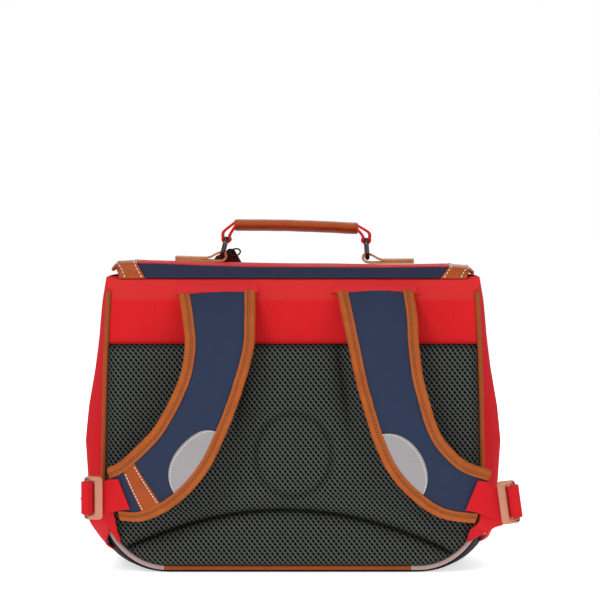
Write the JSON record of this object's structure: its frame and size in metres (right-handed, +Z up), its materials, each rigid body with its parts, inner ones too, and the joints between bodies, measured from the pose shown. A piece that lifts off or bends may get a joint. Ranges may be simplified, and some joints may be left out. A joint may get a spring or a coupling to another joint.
{
  "type": "school ransel",
  "caption": "School satchel worn as a backpack: red fabric body, mesh back pad, curved padded straps with buckles, closed flap and a leather grip on metal rings.",
  "frame": {"origin": "middle of the flat underside of the base", "axes": "+Z up, +X to the right of someone facing the harness side, the harness side faces -Y, the flap closes on +Y"},
  "size_m": [0.4362, 0.1959, 0.349],
  "materials": {
    "red_fabric": "woven, matte",
    "red_ribbed_fabric": "ribbed, matte",
    "red_webbing": "woven webbing, matte",
    "navy_fabric": "woven, matte",
    "air_mesh": "spacer mesh with oval holes, matte",
    "black_fabric": "coated, matte",
    "brown_binding": "binding tape, satin",
    "reflective_trim": "reflective, satin",
    "brown_leather": "smooth, satin",
    "tan_leather": "smooth with raw edges, satin",
    "dark_leather": "smooth, satin",
    "brown_plastic": "moulded, glossy",
    "dark_metal": "dark plated, polished",
    "dark_cord": "waxed cord"
  },
  "bodies": {
    "root": {"base_tray": "black_fabric", "body_shell": "red_fabric", "back_pad": "air_mesh", "top_band": "red_ribbed_fabric", "top_hem": "red_fabric", "side_piping_left": "brown_binding", "side_piping_right": "brown_binding", "corner_piping_left": "reflective_trim", "corner_piping_right": "reflective_trim", "bottom_piping": "brown_binding", "flap_hinge": "navy_fabric", "flap_cover": "red_fabric", "flap_border_left": "brown_leather", "flap_border_right": "brown_leather", "flap_clasp": "dark_metal", "grip": "brown_leather", "grip_web_left": "red_webbing", "grip_web_right": "red_webbing", "ring_left": "dark_metal", "ring_right": "dark_metal", "ring_tab_left": "tan_leather", "ring_tab_right": "tan_leather", "tag": "dark_leather", "tag_loop": "dark_cord", "strap_left": "navy_fabric", "strap_right": "navy_fabric", "strap_binding_inner_left": "brown_binding", "strap_binding_outer_left": "brown_binding", "strap_binding_inner_right": "brown_binding", "strap_binding_outer_right": "brown_binding", "reflector_left": "reflective_trim", "reflector_right": "reflective_trim", "strap_label": "brown_leather", "strap_web_left": "red_webbing", "strap_web_right": "red_webbing", "buckle_left": "brown_plastic", "buckle_right": "brown_plastic", "anchor_back_left": "red_webbing", "anchor_back_right": "red_webbing", "anchor_side_left": "red_webbing", "anchor_side_right": "red_webbing"}
  },
  "joints": []
}
